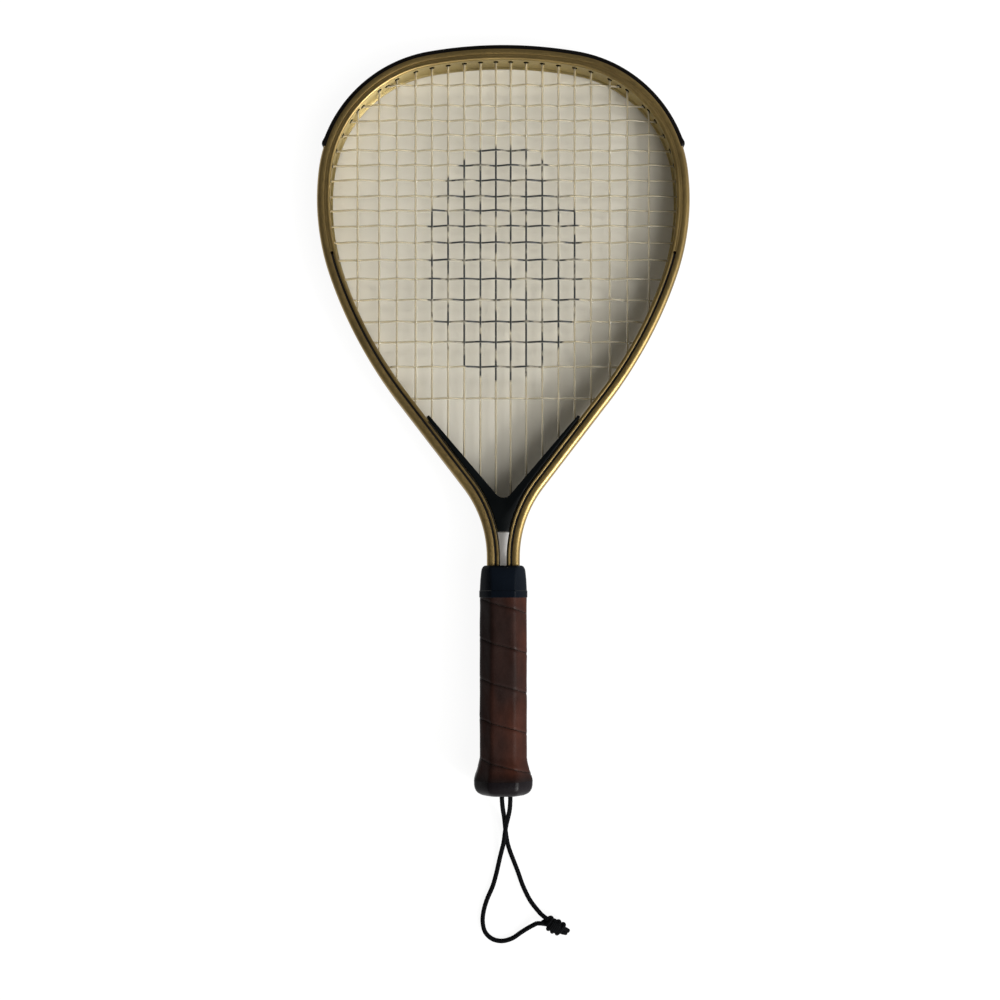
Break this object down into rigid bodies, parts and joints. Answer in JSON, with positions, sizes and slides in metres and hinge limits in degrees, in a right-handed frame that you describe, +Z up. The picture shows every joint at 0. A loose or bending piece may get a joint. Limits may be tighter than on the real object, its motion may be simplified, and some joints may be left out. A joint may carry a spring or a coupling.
{
  "type": "racquetball racket",
  "caption": "strung racquetball racket with a teardrop aluminium head, a moulded throat bridge, a wrapped leather grip and a knotted wrist cord",
  "frame": {"origin": "centre of the racket's footprint without its wrist cord, on the surface that it lies on", "axes": "+Y from the butt toward the head, +X to the right seen from above, +Z up off the surface; the racket is tilted by about one degree because the butt is deeper than the head"},
  "size_m": [0.2278, 0.5551, 0.0351],
  "materials": {
    "gold_aluminium": "satin gold-toned anodised finish on extruded tube",
    "black_plastic": "moulded black plastic with a soft sheen",
    "string_nylon": "translucent natural nylon string",
    "handle_foam": "rigid dark handle foam, hidden under the grip",
    "steel": "plain steel",
    "leather": "worn dark brown leather strip",
    "cord_braid": "black braided cord"
  },
  "bodies": {
    "root": {"frame": "gold_aluminium", "yoke": "black_plastic", "head_guard": "black_plastic", "main_string": "string_nylon", "cross_string": "string_nylon", "pallet_front": "handle_foam", "pallet_back": "handle_foam", "handle_rivet_upper": "steel", "handle_rivet_lower": "steel", "collar": "black_plastic", "grip_wrap": "leather", "butt_cap": "black_plastic", "butt_tack_front": "steel", "butt_tack_back": "steel", "cord_pin": "steel", "cord_bight": "cord_braid", "cord_strand_short": "cord_braid", "cord_strand_long": "cord_braid", "cord_knot": "cord_braid"}
  },
  "joints": []
}
